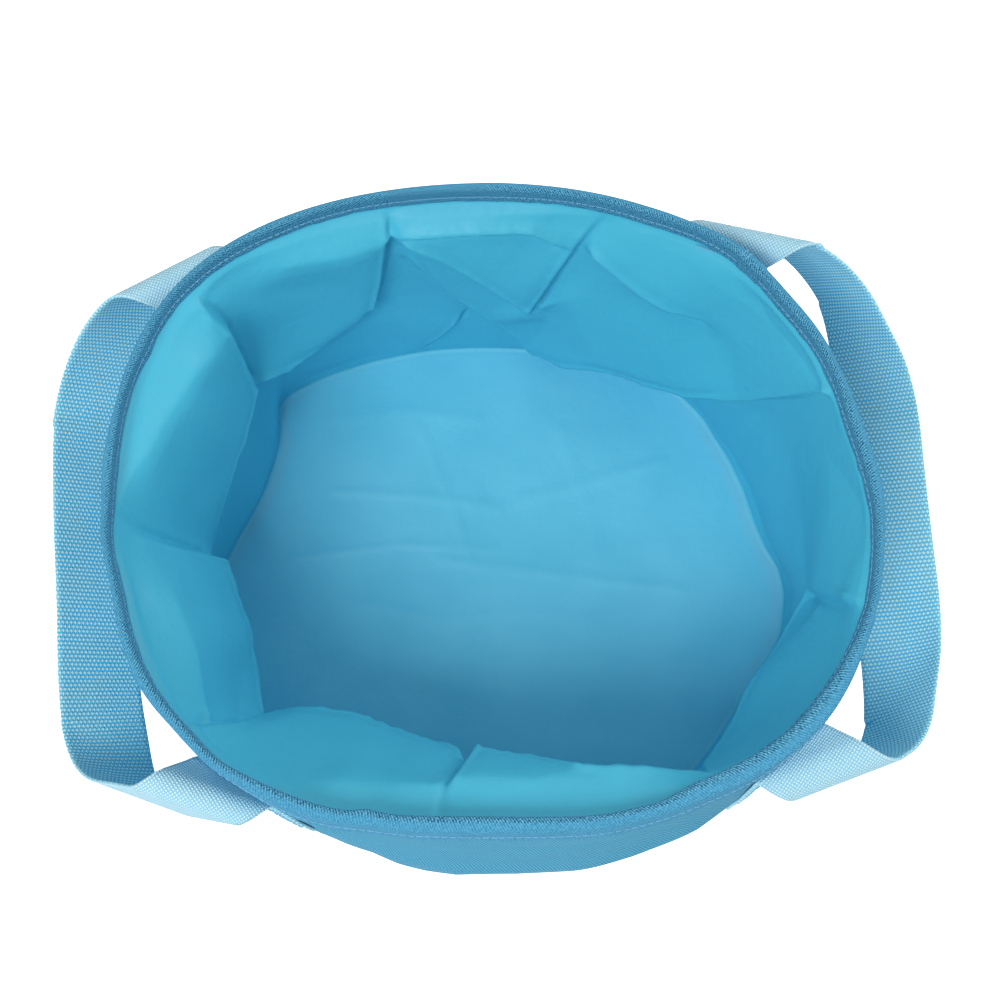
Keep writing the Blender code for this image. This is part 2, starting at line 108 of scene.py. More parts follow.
TAPE_PUCKERS = 239
# How far round the tape from its outer foot it is painted lit and paler; the rest, the inner side,
# is painted darker as shade
PAINTED_LIT_TAPE_WIDTH = 0.0135
LAP_ANGLE = 41
LAP_LENGTH = 0.014

# Stitches: how high they lie on the tape, the dent that they draw in it, their steps and the
# threads' radii. The tack's loose thread runs between two places in degrees, mm out and up.
STITCH_HEIGHT = 0.0045
STITCH_DENT, STITCH_DENT_WIDTH = 0.00025, 0.0012
RIM_STITCH_STEP, RIM_STITCH_LENGTH = 0.0034, 0.0030
BOX_STITCH_STEP = 0.003
RIM_THREAD, TACK_THREAD, BOX_THREAD = 0.00026, 0.0003, 0.0004
LOOSE_THREAD = ((47.6, -6.4, 189.5), (51.2, -6.9, 188.2))
THREAD_COLOUR = (0.20, 0.46, 0.66)

# Webbing
WEBBING_WIDTH = 0.040
WEBBING_THICKNESS = 0.0016
SEWN_LENGTH = 0.037
LOOSE_LENGTH = 0.013
SEWN_TOP = 0.172
HANDLE_JOIN_LENGTH = 0.090
BOX_INSET = 0.004
HANDLE_LENGTHS = {"right": 0.400, "left": 0.382}

# Each strap end: its place in degrees, the side that it slants to, the slant in degrees, and
# its bends as (start, axis in degrees, radius, turn in degrees), in webbing widths
STRAP_ENDS = {
    "front_right": (-42, 1, 12, (
        (0, 78, 0.08, 50), (0.172, 54.5, 0.228, 135),
        (1.379, 93.5, 1.39, 37.5), (2.441, 45, 1.105, 50),
    )),
    "back_right": (49.5, -1, 31, (
        (0, 59, 0.375, 35), (0.262, 43, 0.173, 122.5),
        (0.901, 81, 1.998, 42.5), (2.533, 45, 0.846, 67.5),
    )),
    "front_left": (-131, -1, 20, (
        (0, 70, 0.08, 35), (0.272, 54, 0.155, 137),
        (1.423, 64.5, 0.944, 66.5), (2.67, 107, 3.37, 21.5),
    )),
    "back_left": (141.5, 1, 32, (
        (0, 58, 0.375, 38), (0.246, 47, 0.178, 131),
        (0.983, 57, 1.354, 62.5), (2.608, 100.5, 2.226, 22.5),
    )),
}

# The lining's fold lines: where each point shows in the photograph, in pixels, and its
# height in mm. Where a panel hangs in front of another, the drop says how far off, in
# degrees and mm up, the sheet behind it starts, and by what share it lies back.
FOLD_LINES = (
    # Upper left panel: its edge, its lower ridge and the crease across it
    (((186, 297, 189), (210, 315, 181), (233, 334, 162), (247, 362, 130), (260, 390, 98)),
     (-1.4, 0, 0.6)),
    (((260, 390, 98), (255, 413, 91), (248, 442, 84), (235, 479, 76), (222, 515, 69),
      (210, 554, 60)), (0, -4, 0.25)),
    (((233, 336, 162), (206, 375, 175), (170, 425, 180), (155, 452, 182), (114, 493, 187)), None),
    # Back left panel
    (((249, 280, 174), (245, 300, 160), (235, 326, 150)), None),
    (((228, 264, 187), (262, 268, 178), (296, 270, 175), (340, 262, 173), (380, 248, 174)), None),
    (((361, 322, 80), (330, 345, 74), (292, 373, 80), (259, 388, 94)), (0, -4, 0.5)),
    (((420, 348, 12), (440, 340, 34), (455, 328, 52), (462, 314, 66)), (-1.6, 0, 0.8)),
    # Lower left panel
    (((110, 525, 188), (141, 536, 168), (174, 546, 140), (207, 553, 108), (230, 559, 87)),
     (-1.3, 0, 0.5)),
    (((230, 559, 87), (240, 587, 78), (251, 615, 72), (256, 633, 69), (263, 671, 69),
      (268, 712, 80)), (0, -4, 0.3)),
    (((184, 602, 160), (200, 653, 156), (217, 717, 162)), None),
    # Front left panel
    (((191, 731, 187), (205, 726, 176), (243, 719, 140), (268, 712, 110)), (-1.5, 0, 0.5)),
    (((268, 712, 106), (284, 708, 108), (304, 702, 110), (330, 703, 110), (365, 709, 110),
      (409, 726, 114), (447, 740, 122), (462, 744, 132)), (0, -4, 0.3)),
    (((307, 788, 185), (340, 778, 181), (396, 782, 181), (437, 779, 181)), None),
    # Front panel
    (((476, 742, 146), (459, 770, 174), (448, 786, 181), (442, 814, 187)), (-1.2, 0, 0.35)),
    (((476, 742, 144), (530, 752, 150), (582, 763, 172), (606, 762, 175), (650, 764, 176),
      (694, 770, 176), (706, 773, 174)), (0, -4, 0.4)),
    (((459, 775, 180), (489, 780, 183), (530, 775, 180), (582, 763, 173)), None),
    # Lower right panel
    (((706, 773, 166), (699, 762, 128), (711, 748, 112), (723, 730, 102), (741, 692, 92),
      (750, 677, 88), (767, 654, 82), (782, 628, 78), (794, 607, 80), (805, 586, 90)),
     (0, -3, 0.3)),
    # Upper right panel
    (((805, 586, 94), (814, 589, 122), (840, 595, 174), (864, 600, 191)), (-1.6, 0, 0.8)),
    (((818, 592, 112), (820, 640, 142), (822, 692, 182)), None),
    (((828, 395, 172), (829, 463, 152), (832, 520, 150)), None),
    (((532, 355, 24), (560, 372, 36), (601, 377, 52), (640, 389, 60), (682, 401, 74),
      (719, 404, 94), (747, 403, 112), (793, 396, 152), (832, 389, 187)), (-0.5, -4, 0.6)),
    (((734, 384, 106), (738, 350, 134)), None),
    (((590, 260, 165), (618, 282, 154), (642, 301, 147), (664, 314, 142), (701, 322, 140)),
     (0, -3, 0.3)),
    (((644, 225, 188), (682, 264, 174), (729, 293, 172), (766, 318, 171), (788, 345, 172)), None),
    # The flap at the back
    (((601, 213, 187), (580, 240, 173), (560, 270, 150), (544, 294, 126), (528, 318, 102)),
     (-1.2, -2, 0.5)),
    (((408, 250, 170), (440, 264, 157), (467, 280, 142), (500, 301, 122), (528, 318, 102)),
     (0, -4, 0.5)),
    (((386, 240, 176), (430, 240, 179), (480, 240, 179), (530, 242, 177), (557, 251, 166)),
     (0, -3, 0.4)),
    (((383, 200, 189), (385, 225, 183), (386, 241, 175), (381, 287, 128), (376, 314, 100)),
     (-1.3, 0, 0.8)),
    (((410, 260, 150), (435, 284, 122), (457, 303, 98), (485, 323, 74), (510, 341, 48),
      (532, 356, 24)), (0, -4, 0.6)),
    (((528, 318, 98), (567, 303, 116), (592, 291, 128), (599, 276, 144)), None),
    (((549, 312, 92), (540, 334, 56)), None),
)

# Where the wall meets the base: degrees, and mm in from the plain wall
FOOT_LINE = (
    (1.7, 2.5), (6.1, 9.4), (12.5, 13.7), (21.9, 12.4), (32.1, 8.8), (39.9, 1.6), (43, 0),
    (98, 0), (106, 0), (124, 1), (138, 0), (141.5, 1), (143.9, 10.9), (147, 18.5),
    (151.6, 23.9), (157.4, 27.1), (162.7, 26.3), (168.5, 22.3), (173.8, 17.2), (183, 8),
    (215, 8), (240, 4), (270, 2), (290, 4), (310, 5), (317, 11.6), (328, 14.8), (337, 14.3),
    (347.6, 2.3), (358, 0), (361.7, 2.5),
)
ARC_PER_DEGREE = 2.8
FULL_ARC = 360 * ARC_PER_DEGREE
LINE_STEP = 2.5

# How crisp the lining is at folds with a drop, at others and at its foot, and how far crisp
# and soft places are blurred, in mesh steps
CRISP_FOLD, SOFT_FOLD, CRISP_FOOT = 1.0, 0.4, 0.6
CRISP_BLUR, SOFT_BLUR = 0.9, 4.5

# How plainly the paler weld round the foot shows, with a painted highlight along it where plain:
# between faint and plain, at angles in degrees
WELD_HIGHLIGHT_SHARES = (
    (0, 1), (30, 1), (50, 0), (130, 0), (145, 1), (170, 1), (185, 0), (330, 0), (360, 1),
)
FAINT_WELD_HIGHLIGHT, PLAIN_WELD_HIGHLIGHT = 0.08, 0.50

# Creases in the lining's base, in mm on the base, and how high and half as wide they are
BASE_CREASES = (
    ((-92, 51), (-42, 48), (4, 41), (0.77, 2.6)),
    ((-114, 11), (-54, 19), (2, 16), (0.66, 2.6)),
    ((16, 46), (63, 58), (99, 69), (0.66, 3.8)),
    ((-30, 10), (39, 1), (108, -8), (0.66, 3.8)),
    ((-43, 89), (-25, 46), (-13, 10), (0.44, 3.8)),
    ((40, 89), (57, 34), (62, -14), (0.44, 4.5)),
    ((-82, -14), (-24, -25), (39, -20), (0.55, 3)),
    ((-97, 95), (-55, 101), (-7, 95), (0.55, 3)),
)

# Soft unevenness: its reach round and up in mesh steps, its random seed and its height in mm.
# The shell is hollowed only where its waves pass a start, and no deeper than a limit.
LINING_WAVES = ((11, 9, 3, 0.3), (26, 20, 5, 0.6))
BASE_WAVES = (14, 3, 8, 0.25)
SHELL_WAVES = (9, 14, 11, 1.2)
HOLLOW_START, HOLLOW_LIMIT = 0.48, 2.4

# The shell's base panel, in mm: half its width, how high it lies off the ground, and how far
# in, how wide and how high the seam shows
BASE_REACH, BASE_LIFT = 150, 0.4
BASE_SEAM = (6, 1.5, 0.3)

# Mesh steps
RING_STEPS = 900
COLLAR_ROWS = 2
WALL_ROWS = 150
BASE_ROWS = 50
PANEL_ROWS = 29
SHELL_STEPS = 360
SHELL_ROWS = 60
STRAP_ROW_LENGTH = 0.0015
STRAP_COLUMNS = 18

# Soft folds in the shell's front, in (degrees, mm up), and how high and half as wide they are
SHELL_FOLDS = (
    ((238, 160), (250, 152), (262, 146), (278, 143), (300, 146), (1.6, 5)),
    ((262, 176), (276, 168), (296, 170), (0.8, 5)),
    ((243, 120), (256, 90), (262, 60), (1.2, 10)),
    ((300, 150), (292, 120), (288, 90), (1.0, 9)),
)

# Camera, measured from the photograph's perspective, and the photograph's size in pixels
CAMERA_PLACE = (0, -0.1734, 0.7854)
CAMERA_TILT = 16.5
CAMERA_LENS = 50
CAMERA_SENSOR = 36
CAMERA_SHIFT = (0.0075, -0.021)
PHOTO_SIZE = 1000

# Light: the surroundings' strength, and the lamps' places and powers in watts
PLAIN_LIGHT = 0.46
LAMPS = {"key": ((-0.49, -0.84, 1.47), 15.0), "low": ((1.33, 0.77, 0.80), 8.0)}
LAMP_AIM = (0, 0, 0.08)
LAMP_SIZE = 0.8
FLOOR_HALF = 3.0
FLOOR_DROP = 0.0002


# Geometry helpers


def smooth(share):
    share = np.clip(share, 0, 1)
    return share * share * (3 - 2 * share)


def stretch(angle):
    """How far the slack rim stands outward of a true oval."""
    total = np.zeros(np.shape(angle))
    for middle, half, edge, shift in RIM_STRETCHES:
        off = np.abs((np.degrees(angle) - middle + 180) % 360 - 180)
        total = total + shift * smooth((half - off) / edge)
    return total


def true_reach(angle, outward):
    """How far a true oval, moved outward, is from the middle at each angle in radians."""
    across, along = np.cos(angle), np.sin(angle)
    front = (1 - along) / 2
    power = FRONT_POWER * front + (BACK_POWER - BACK_LEAN * across) * (1 - front)
    far = np.abs(across / (RIM_LENGTH / 2 + outward)) ** power
    near = np.abs(along / (RIM_WIDTH / 2 + outward)) ** power
    return (far + near) ** (-1 / power)


def reach(angle, outward):
    return true_reach(angle, outward) + stretch(angle)


def oval_points(angle, outward, height):
    """World points on the oval, as an array with the coordinates last."""
    radius = reach(angle, outward)
    spots = np.broadcast_arrays(radius * np.cos(angle), radius * np.sin(angle), height)
    return np.stack(spots, axis=-1)


def around_rim(table, angle):
    """A table's value in metres at each angle in radians."""
    angles, values = np.array(table).T
    return np.interp(np.degrees(angle) % 360, angles, values) * MM


def belly(angle, height):
    """How far the shell stands out beyond the rim."""
    heights, shares = np.array(BELLY_SHARES).T
    return around_rim(BELLY, angle) * np.interp(height / MM, heights, shares)


def ring_angles(count):
    return np.arange(count) * (2 * np.pi / count)


def arc_lengths(angles):
    """Distance along the rim to each angle, with the full turn at the end."""
    points = oval_points(np.append(angles, angles[0] + 2 * np.pi), 0, 0)
    steps = np.linalg.norm(np.diff(points, axis=0), axis=1)
    return np.concatenate([[0], np.cumsum(steps)])


def grid_faces(rows, columns, closed):
    """Quads of a grid of points, and each corner's row and unwrapped column."""
    last = columns if closed else columns - 1
    row, column = np.meshgrid(np.arange(rows - 1), np.arange(last), indexing="ij")
    row, column = row.ravel(), column.ravel()
    corner_rows = np.stack([row, row, row + 1, row + 1], axis=1)
    corner_columns = np.stack([column, column + 1, column + 1, column], axis=1)
    return corner_rows * columns + corner_columns % columns, corner_rows, corner_columns


def put_in_scene(made):
    bpy.context.scene.collection.objects.link(made)
    return made


def new_object(name, points, faces, finishes, uv=None, face_finish=None):
    """A smooth-shaded mesh; uv has one place per face corner, in metres on the cloth."""
    mesh = bpy.data.meshes.new(name)
    mesh.from_pydata(points.reshape(-1, 3).tolist(), [], faces)
    for finish in finishes:
        mesh.materials.append(finish)
    if uv is not None:
        layer = mesh.uv_layers.new(name="cloth")
        layer.data.foreach_set("uv", uv.reshape(-1).astype(np.float32))
    if face_finish is not None:
        mesh.polygons.foreach_set("material_index", face_finish.astype(np.int32))
    mesh.shade_smooth()
    mesh.update()
    return put_in_scene(bpy.data.objects.new(name, mesh))


def grid_object(name, points, finish, across, up, closed=False, flip=False):
    """A sheet from a grid of points; across and up are its cloth places in metres."""
    rows, columns = points.shape[:2]
    faces, corner_rows, corner_columns = grid_faces(rows, columns, closed)
    uv = np.stack([across[corner_columns], up[corner_rows]], axis=-1)
    if flip:
        faces, uv = faces[:, ::-1], uv[:, ::-1]
    return new_object(name, points, faces.tolist(), [finish], uv)


def close_holes(piece, rings, smoothed):
    """Adds a face on each ring of the piece's point numbers."""
    body = bmesh.new()
    body.from_mesh(piece.data)
    body.verts.ensure_lookup_table()
    for ring in rings:
        body.faces.new([body.verts[point] for point in ring]).smooth = smoothed
    body.to_mesh(piece.data)
    body.free()


def blurred(field, column_reach, row_reach):
    """A field on the ring, softened round it and up it, with sigmas in grid steps."""
    for axis, sigma in ((1, column_reach), (0, row_reach)):
        if sigma <= 0:
            continue
        width = int(3 * sigma) + 1
        weights = np.exp(-0.5 * (np.arange(-width, width + 1) / sigma) ** 2)
        weights /= weights.sum()
        if axis:
            padded = np.pad(field, ((0, 0), (width, width)), mode="wrap")
        else:
            padded = np.pad(field, ((width, width), (0, 0)), mode="edge")
        size = field.shape[axis]
        field = sum(
            weight * np.take(padded, np.arange(step, step + size), axis=axis)
            for step, weight in enumerate(weights)
        )
    return field


def rough_field(shape, column_reach, row_reach, seed, height):
    """Soft random waves of about that height."""
    field = np.random.default_rng(seed).standard_normal(shape)
    field = blurred(field, column_reach, row_reach)
    return field / field.std() * height


def stitch_mesh(name, stitches, radius, finish):
    """Short rounded threads, each from one point to another over a face's normal."""
    shares = np.array([0, 0.12, 0.35, 0.65, 0.88, 1])
    girths = np.array([0.25, 0.85, 1, 1, 0.85, 0.25])
    turns = np.arange(6) * np.pi / 3
    points, faces = [], []
    for first, last, normal in stitches:
        run = last - first
        side = np.cross(run, normal)
        side /= np.linalg.norm(side)
        start = len(points)
        for share, girth in zip(shares, girths):
            middle = first + run * share + normal * radius * (4 * share * (1 - share) - 0.4)
            for turn in turns:
                out = side * math.cos(turn) + normal * math.sin(turn)
                points.append(middle + out * radius * girth)
        for ring in range(len(shares) - 1):
            for step in range(6):
                here, after = start + ring * 6 + step, start + ring * 6 + (step + 1) % 6
                faces.append((here, here + 6, after + 6, after))
    return new_object(name, np.array(points), faces, [finish])


# Materials


class Shader:
    """A Principled material and short ways to add nodes to it."""

    def __init__(self, name, roughness, specular=0.5):
        self.made = bpy.data.materials.new(name)
        self.made.use_nodes = True
        self.tree = self.made.node_tree
        self.main = self.tree.nodes["Principled BSDF"]
        self.main.inputs["Roughness"].default_value = roughness
        self.main.inputs["Specular IOR Level"].default_value = specular

    def node(self, kind, inputs=(), **settings):
        made = self.tree.nodes.new(kind)
        for key, value in settings.items():
            setattr(made, key, value)
        for key, value in dict(inputs).items():
            self.set(made.inputs[key], value)
        return made

    def set(self, socket, value):
        if isinstance(value, bpy.types.NodeSocket):
            self.tree.links.new(value, socket)
        else:
            socket.default_value = value

    def math(self, operation, *values, clamp=False):
        made = self.node("ShaderNodeMath", operation=operation, use_clamp=clamp)
        for socket, value in zip(made.inputs, values):
            self.set(socket, value)
        return made.outputs[0]

    def mix(self, share, first, second):
        made = self.node("ShaderNodeMix", data_type="RGBA")
        self.set(made.inputs["Factor"], share)
        for name, colour in (("A", first), ("B", second)):
            self.set(made.inputs[name], (*colour, 1) if isinstance(colour, tuple) else colour)
        return made.outputs["Result"]

    def noise(self, place, scale, detail=2.0):
        inputs = {"Vector": place, "Scale": scale, "Detail": detail}
        return self.node("ShaderNodeTexNoise", inputs).outputs["Fac"]

    def cloth(self):
        """The sheet's own two directions in metres."""
        place = self.node("ShaderNodeUVMap", uv_map="cloth").outputs["UV"]
        split = self.node("ShaderNodeSeparateXYZ", {"Vector": place})
        return place, split.outputs["X"], split.outputs["Y"]

    def solid_place(self):
        return self.node("ShaderNodeTexCoord").outputs["Object"]

    def waves(self, value, pitch, shift=0.0):
        """A sine between 0 and 1 with that pitch in metres."""
        turned = self.math("MULTIPLY_ADD", value, 2 * math.pi / pitch, shift)
        return self.math("MULTIPLY_ADD", self.math("SINE", turned), 0.5, 0.5)

    def bump(self, height, distance, after=None):
        made = self.node("ShaderNodeBump", {"Height": height, "Distance": distance})
        if after:
            self.set(made.inputs["Normal"], after)
        return made.outputs["Normal"]

    def finish(self, colour, normal=None):
        self.set(self.main.inputs["Base Color"], colour)
        if normal:
            self.set(self.main.inputs["Normal"], normal)
        return self.made


def lining_finish():
    """Thin coated sheet: smooth, slightly satin, with faint clouding, a base painted paler and
    greyer as sheen, and paler welds with a painted highlight.
    """
    shader = Shader("coated_lining_cloth", 0.45, 0.3)
    place = shader.solid_place()
    cloud = shader.noise(place, 14.0, 3.0)
    wall = shader.mix(cloud, (0.075, 0.54, 0.74), (0.10, 0.59, 0.80))
    haze = shader.math("MULTIPLY_ADD", cloud, 1.8, -0.4, clamp=True)
    # The base is painted paler and greyer than the walls as painted sheen where it faces up
    base = shader.mix(haze, (0.14, 0.64, 0.84), (0.21, 0.74, 0.93))
    ground = shader.node("ShaderNodeAttribute", attribute_name="ground").outputs["Fac"]
    colour = shader.mix(ground, wall, base)
    # The weld's strip is painted paler: partly its own colour, partly a painted highlight where it
    # shows plainly
    weld = shader.node("ShaderNodeAttribute", attribute_name="weld").outputs["Fac"]
    colour = shader.mix(weld, colour, (0.27, 0.62, 0.76))
    grain = shader.noise(place, 1500.0, 1.0)
    creases = shader.noise(place, 160.0, 4.0)
    normal = shader.bump(grain, 0.00005)
    normal = shader.bump(creases, 0.0004, after=normal)
    return shader.finish(colour, normal)


def shell_finish():
    """Matt woven twill, darker than the lining."""
    shader = Shader("woven_shell_cloth", 0.8, 0.2)
    place, across, up = shader.cloth()
    twill = shader.waves(shader.math("MULTIPLY_ADD", up, 0.5, across), 0.0015)
    counter = shader.waves(shader.math("MULTIPLY_ADD", up, -1.6, across), 0.0017)
    weave = shader.math("MULTIPLY", twill, shader.math("MULTIPLY_ADD", counter, 0.2, 0.8))
    uneven = shader.noise(place, 900.0, 2.0)
    weave = shader.math("MULTIPLY_ADD", uneven, 0.4, shader.math("MULTIPLY", weave, 0.9))
    fade = shader.noise(shader.solid_place(), 40.0, 3.0)
    colour = shader.mix(weave, (0.024, 0.225, 0.42), (0.145, 0.56, 0.80))
    colour = shader.mix(shader.math("MULTIPLY", fade, 0.3), colour, (0.06, 0.31, 0.53))
    return shader.finish(colour, shader.bump(weave, 0.0004))


def binding_finish():
    """Coarse woven tape with pale specks: painted shade darkens its inner side, and painted light
    makes the crown and outer side paler.
    """
    shader = Shader("woven_binding_tape", 0.85, 0.2)
    place, across, up = shader.cloth()
    rising = shader.waves(shader.math("MULTIPLY_ADD", up, 0.8, across), 0.0013)
    falling = shader.waves(shader.math("MULTIPLY_ADD", up, -1.3, across), 0.0019)
    weave = shader.math("MULTIPLY", rising, shader.math("MULTIPLY_ADD", falling, 0.6, 0.4))
    specks = shader.noise(place, 1100.0, 2.0)
    weave = shader.math("MULTIPLY_ADD", specks, 1.7, shader.math("MULTIPLY", weave, 0.85))
    weave = shader.math("SUBTRACT", weave, 0.68, clamp=True)
    # Painted light and shade: paler colours on the crown and outer side, dark colours on the inner
    # side
    painted_lit_side = shader.math("GREATER_THAN", PAINTED_LIT_TAPE_WIDTH, up)
    dark = shader.mix(painted_lit_side, (0.004, 0.09, 0.22), (0.045, 0.30, 0.54))
    light = shader.mix(painted_lit_side, (0.20, 0.70, 1.0), (0.15, 0.54, 0.82))
    return shader.finish(shader.mix(weave, dark, light), shader.bump(weave, 0.0005))


def plain_webbing_finish():
    """The webbing's plain face: bright floats in rows, set like bricks."""
    shader = Shader("webbing_plain_face", 0.6, 0.2)
    _, along, across = shader.cloth()
    row, pitch = 0.0020, 0.0020
    quarter = math.pi / 2
    row_shift = shader.math("MULTIPLY", along, pitch / (2 * row))
    rising = shader.waves(shader.math("ADD", across, row_shift), pitch, quarter)
    falling = shader.waves(shader.math("SUBTRACT", across, row_shift), pitch, quarter)
    floats = shader.math("MULTIPLY", rising, falling)
    rows = shader.waves(along, row, quarter)
    floats = shader.math("MULTIPLY_ADD", floats, 1.3, shader.math("MULTIPLY", rows, 0.5))
    floats = shader.math("SUBTRACT", floats, 0.2)
    return webbing_weave(shader, floats, (0.035, 0.55, 0.92), (0.66, 1.0, 1.0))


def sheen_painted_webbing_finish():
    """The webbing painted pale as sheen, for the face that shows near the rolled ends: a fine
    square grid.
    """
    shader = Shader("webbing_painted_sheen_face", 0.6, 0.2)
    _, along, across = shader.cloth()
    floats = shader.math("MULTIPLY", shader.waves(along, 0.0013), shader.waves(across, 0.0014))
    floats = shader.math("POWER", floats, 0.6)
    return webbing_weave(shader, floats, (0.13, 0.64, 0.98), (0.80, 1.0, 1.0))


def webbing_weave(shader, floats, dark, light):
    """Colours the floats, roughens them with fuzz and marks the woven edges."""
    place, along, across = shader.cloth()
    fuzz = shader.noise(place, 1400.0, 2.0)
    patches = shader.noise(shader.solid_place(), 30.0)
    weave = shader.math("MULTIPLY_ADD", fuzz, 0.35, floats)
    weave = shader.math("MULTIPLY_ADD", patches, 0.2, weave)
    edge = shader.math("GREATER_THAN", shader.math("ABSOLUTE", across), WEBBING_WIDTH / 2 - MM)
    ticks = shader.math("MULTIPLY", shader.waves(along, 0.0021), 0.25)
    weave = shader.math("MULTIPLY_ADD", edge, ticks, weave)
    weave = shader.math("SUBTRACT", weave, 0.1, clamp=True)
    return shader.finish(shader.mix(weave, dark, light), shader.bump(weave, 0.0004))


def thread_finish():
    """Twisted sewing thread."""
    shader = Shader("pale_thread", 0.6)
    twist = shader.noise(shader.solid_place(), 2500.0, 1.0)
    pale = tuple(min(1.0, part * 1.25) for part in THREAD_COLOUR)
    colour = shader.mix(twist, THREAD_COLOUR, pale)
    return shader.finish(colour, shader.bump(twist, 0.0001))


def plastic_finish():
    """The stiffener strip, which the binding hides."""
    shader = Shader("pale_plastic_strip", 0.45)
    cloud = shader.noise(shader.solid_place(), 60.0)
    return shader.finish(shader.mix(cloud, (0.74, 0.77, 0.78), (0.82, 0.84, 0.84)))


# The lining


def seen_place(across, down, height):
    """The angle and the depth, in mm, of a point that shows at a pixel, at a height in mm."""
    tilt = math.radians(CAMERA_TILT)
    middle, field = PHOTO_SIZE / 2, CAMERA_SENSOR / CAMERA_LENS
    right = ((across - middle) / PHOTO_SIZE + CAMERA_SHIFT[0]) * field
    up = ((middle - down) / PHOTO_SIZE + CAMERA_SHIFT[1]) * field
    way = np.array([
        right, up * math.cos(tilt) + math.sin(tilt), up * math.sin(tilt) - math.cos(tilt)
    ])
    place = np.array(CAMERA_PLACE)
    place = place + way * (height * MM - place[2]) / way[2]
    angle = math.atan2(place[1], place[0])
    radius = math.hypot(place[0], place[1])
    depth = 0
    for _ in range(12):
        depth += true_reach(angle, LINING_FACE - depth) - radius
    return [math.degrees(angle) % 360, height, max(depth / MM, 0)]


def line_samples(line):
    """Points every few mm along a fold line, in (arc mm, height mm, depth mm)."""
    corners = np.array(line, float) * (ARC_PER_DEGREE, 1, 1)
    samples = [corners[0]]
    for first, last in zip(corners, corners[1:]):
        count = max(1, round(np.linalg.norm((last - first)[:2]) / LINE_STEP))
        samples += [first + (last - first) * step / count for step in range(1, count + 1)]
    return samples


def unwrapped(line):
    """The same line with no jump where its angles pass a full turn."""
    angles = np.unwrap(np.radians([point[0] for point in line]))
    return [(math.degrees(angle), *point[1:]) for angle, point in zip(angles, line)]


def fold_samples():
    """Every place where the lining's depth is known, and how crisp the fold is there."""
    samples, crispness = [], []
    for seen, drop in FOLD_LINES:
        line = unwrapped([seen_place(*point) for point in seen])
        made = line_samples(line)
        if drop:
            turn, rise, share = drop
            made += line_samples([(a + turn, z + rise, d * (1 - share)) for a, z, d in line])
        samples += made
        crispness += [CRISP_FOLD if drop else SOFT_FOLD] * len(made)
    for angle in range(0, 360, 2):
        samples.append(np.array([angle * ARC_PER_DEGREE, BINDING_FOOT / MM, 0]))
        depth = np.interp(angle if angle > 1 else angle + 360, *np.array(FOOT_LINE).T)
        samples.append(np.array([angle * ARC_PER_DEGREE, LINING_FOOT / MM, depth]))
        crispness += [0, CRISP_FOOT]
    return np.array(samples), np.array(crispness)


def around(samples):
    """The samples over a little more than a turn, so that the ring closes."""
    turn = np.array([FULL_ARC, 0, 0])
    samples = np.concatenate([samples + turn * step for step in (-2, -1, 0, 1)])
    margin = 40 * ARC_PER_DEGREE
    return samples[(samples[:, 0] > -margin) & (samples[:, 0] < FULL_ARC + margin)]


def between(line, low, high):
    """Where a rising line's values are between two others."""
    return slice(np.searchsorted(line, low), np.searchsorted(line, high, "right"))


def spread_depths(samples, columns, rows):
    """Depths on the grid of columns (arc mm) and rows (height mm), linear in triangles."""
    spots = [Vector((a, z)) for a, z, _ in samples]
    made = delaunay_2d_cdt(spots, [], [], 0, 1e-4)
    places = np.array([tuple(spot) for spot in made[0]])
    depths = np.array([samples[origin[0]][2] for origin in made[3]])
    field = np.zeros((len(rows), len(columns)))
    for face in made[2]:
        corners, values = places[list(face)], depths[list(face)]
        low, high = corners.min(axis=0), corners.max(axis=0)
        wide, tall = between(columns, low[0], high[0]), between(rows, low[1], high[1])
        across, up = np.meshgrid(columns[wide], rows[tall])
        (ax, ay), (bx, by), (cx, cy) = corners
        area = (bx - ax) * (cy - ay) - (cx - ax) * (by - ay)
        if abs(area) < 1e-9:
            continue
        second = ((across - ax) * (cy - ay) - (cx - ax) * (up - ay)) / area
        third = ((bx - ax) * (up - ay) - (across - ax) * (by - ay)) / area
        inside = (second >= -1e-6) & (third >= -1e-6) & (second + third <= 1 + 1e-6)
        value = values[0] + second * (values[1] - values[0]) + third * (values[2] - values[0])
        block = field[tall, wide]
        block[inside] = value[inside]
    return field


def crisp_shares(samples, crispness, heights):
    """How crisp the lining is kept, from 0 to 1, on the grid of rows and columns."""
    field = np.zeros((len(heights), RING_STEPS))
    column = np.round(samples[:, 0] * RING_STEPS / FULL_ARC).astype(int)
    row = np.round((samples[:, 1] * MM - heights[0]) / (heights[1] - heights[0])).astype(int)
    row = np.clip(row, 0, len(heights) - 1)
    np.maximum.at(field, (row, column % RING_STEPS), crispness)
    return np.clip(blurred(field, 2.5, 2.5) * 9, 0, 1)


def lining_depths(heights):
    """How far the lining hangs in from the wall, in metres, for each row and column."""
    columns = np.arange(RING_STEPS) * (FULL_ARC / RING_STEPS)
    samples, crispness = fold_samples()
    field = spread_depths(around(samples), columns, heights / MM)
    crisp = crisp_shares(samples, crispness, heights)
    sharp, soft = (blurred(field, sigma, sigma) for sigma in (CRISP_BLUR, SOFT_BLUR))
    field = crisp * sharp + (1 - crisp) * soft
    waves = sum(rough_field(field.shape, *wave) for wave in LINING_WAVES)
    below_tape = (BINDING_FOOT - heights[:, None]) / MM
    above_foot = (heights[:, None] - LINING_FOOT) / MM
    free, tucked = smooth(below_tape / 10), smooth(below_tape / 3)
    angles = np.radians(columns / ARC_PER_DEGREE)
    waves = waves * free * smooth(above_foot / 12)
    field = (field + stretch(angles) / MM * free + waves) * tucked
    edge = (LINING_FACE - lining_edge(angles)) / MM
    return (np.maximum(field, 0) + (1 - tucked) * edge) * MM


def lining_edge(angles):
    """Where the lining's top edge lies, just behind the tape's inner face."""
    return around_rim(TAPE_INNER, angles) + TAPE_THICKNESS


